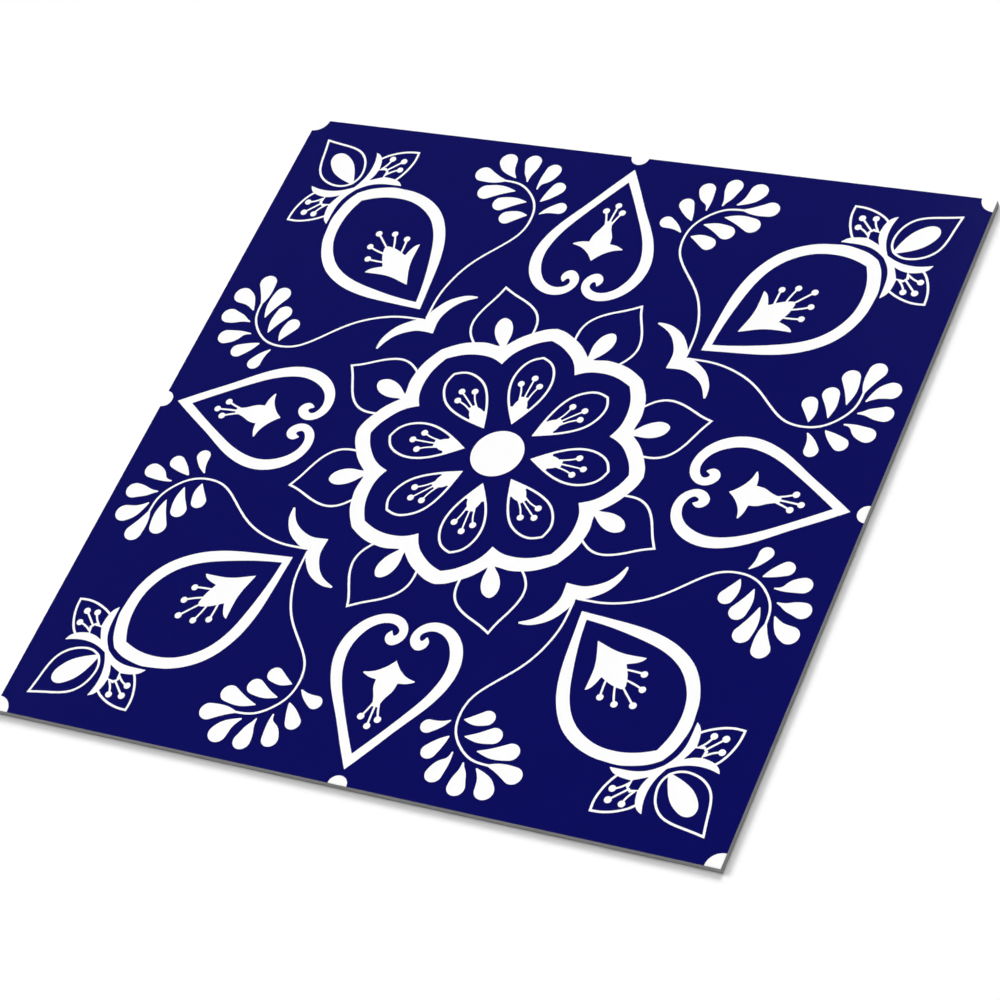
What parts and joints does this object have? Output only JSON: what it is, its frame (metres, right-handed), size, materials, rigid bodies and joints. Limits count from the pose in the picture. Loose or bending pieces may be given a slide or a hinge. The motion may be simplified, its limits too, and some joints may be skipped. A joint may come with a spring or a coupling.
{
  "type": "vinyl floor tile",
  "caption": "Thin square vinyl floor tile with a printed ornamental face, a slightly eased top edge, straight butt sides and a flat underside.",
  "frame": {"origin": "centre of the flat underside", "axes": "+Z out of the printed face, +X and +Y square to two neighbouring edges; each quarter turn about Z looks the same"},
  "size_m": [0.3048, 0.3048, 0.0032],
  "materials": {
    "printed_vinyl": "deep blue print under a satin clear wear layer, on a pale filled vinyl sheet",
    "white_print": "white ornament of the print under the same satin clear wear layer"
  },
  "bodies": {
    "root": {"vinyl_tile": "printed_vinyl"}
  },
  "joints": []
}
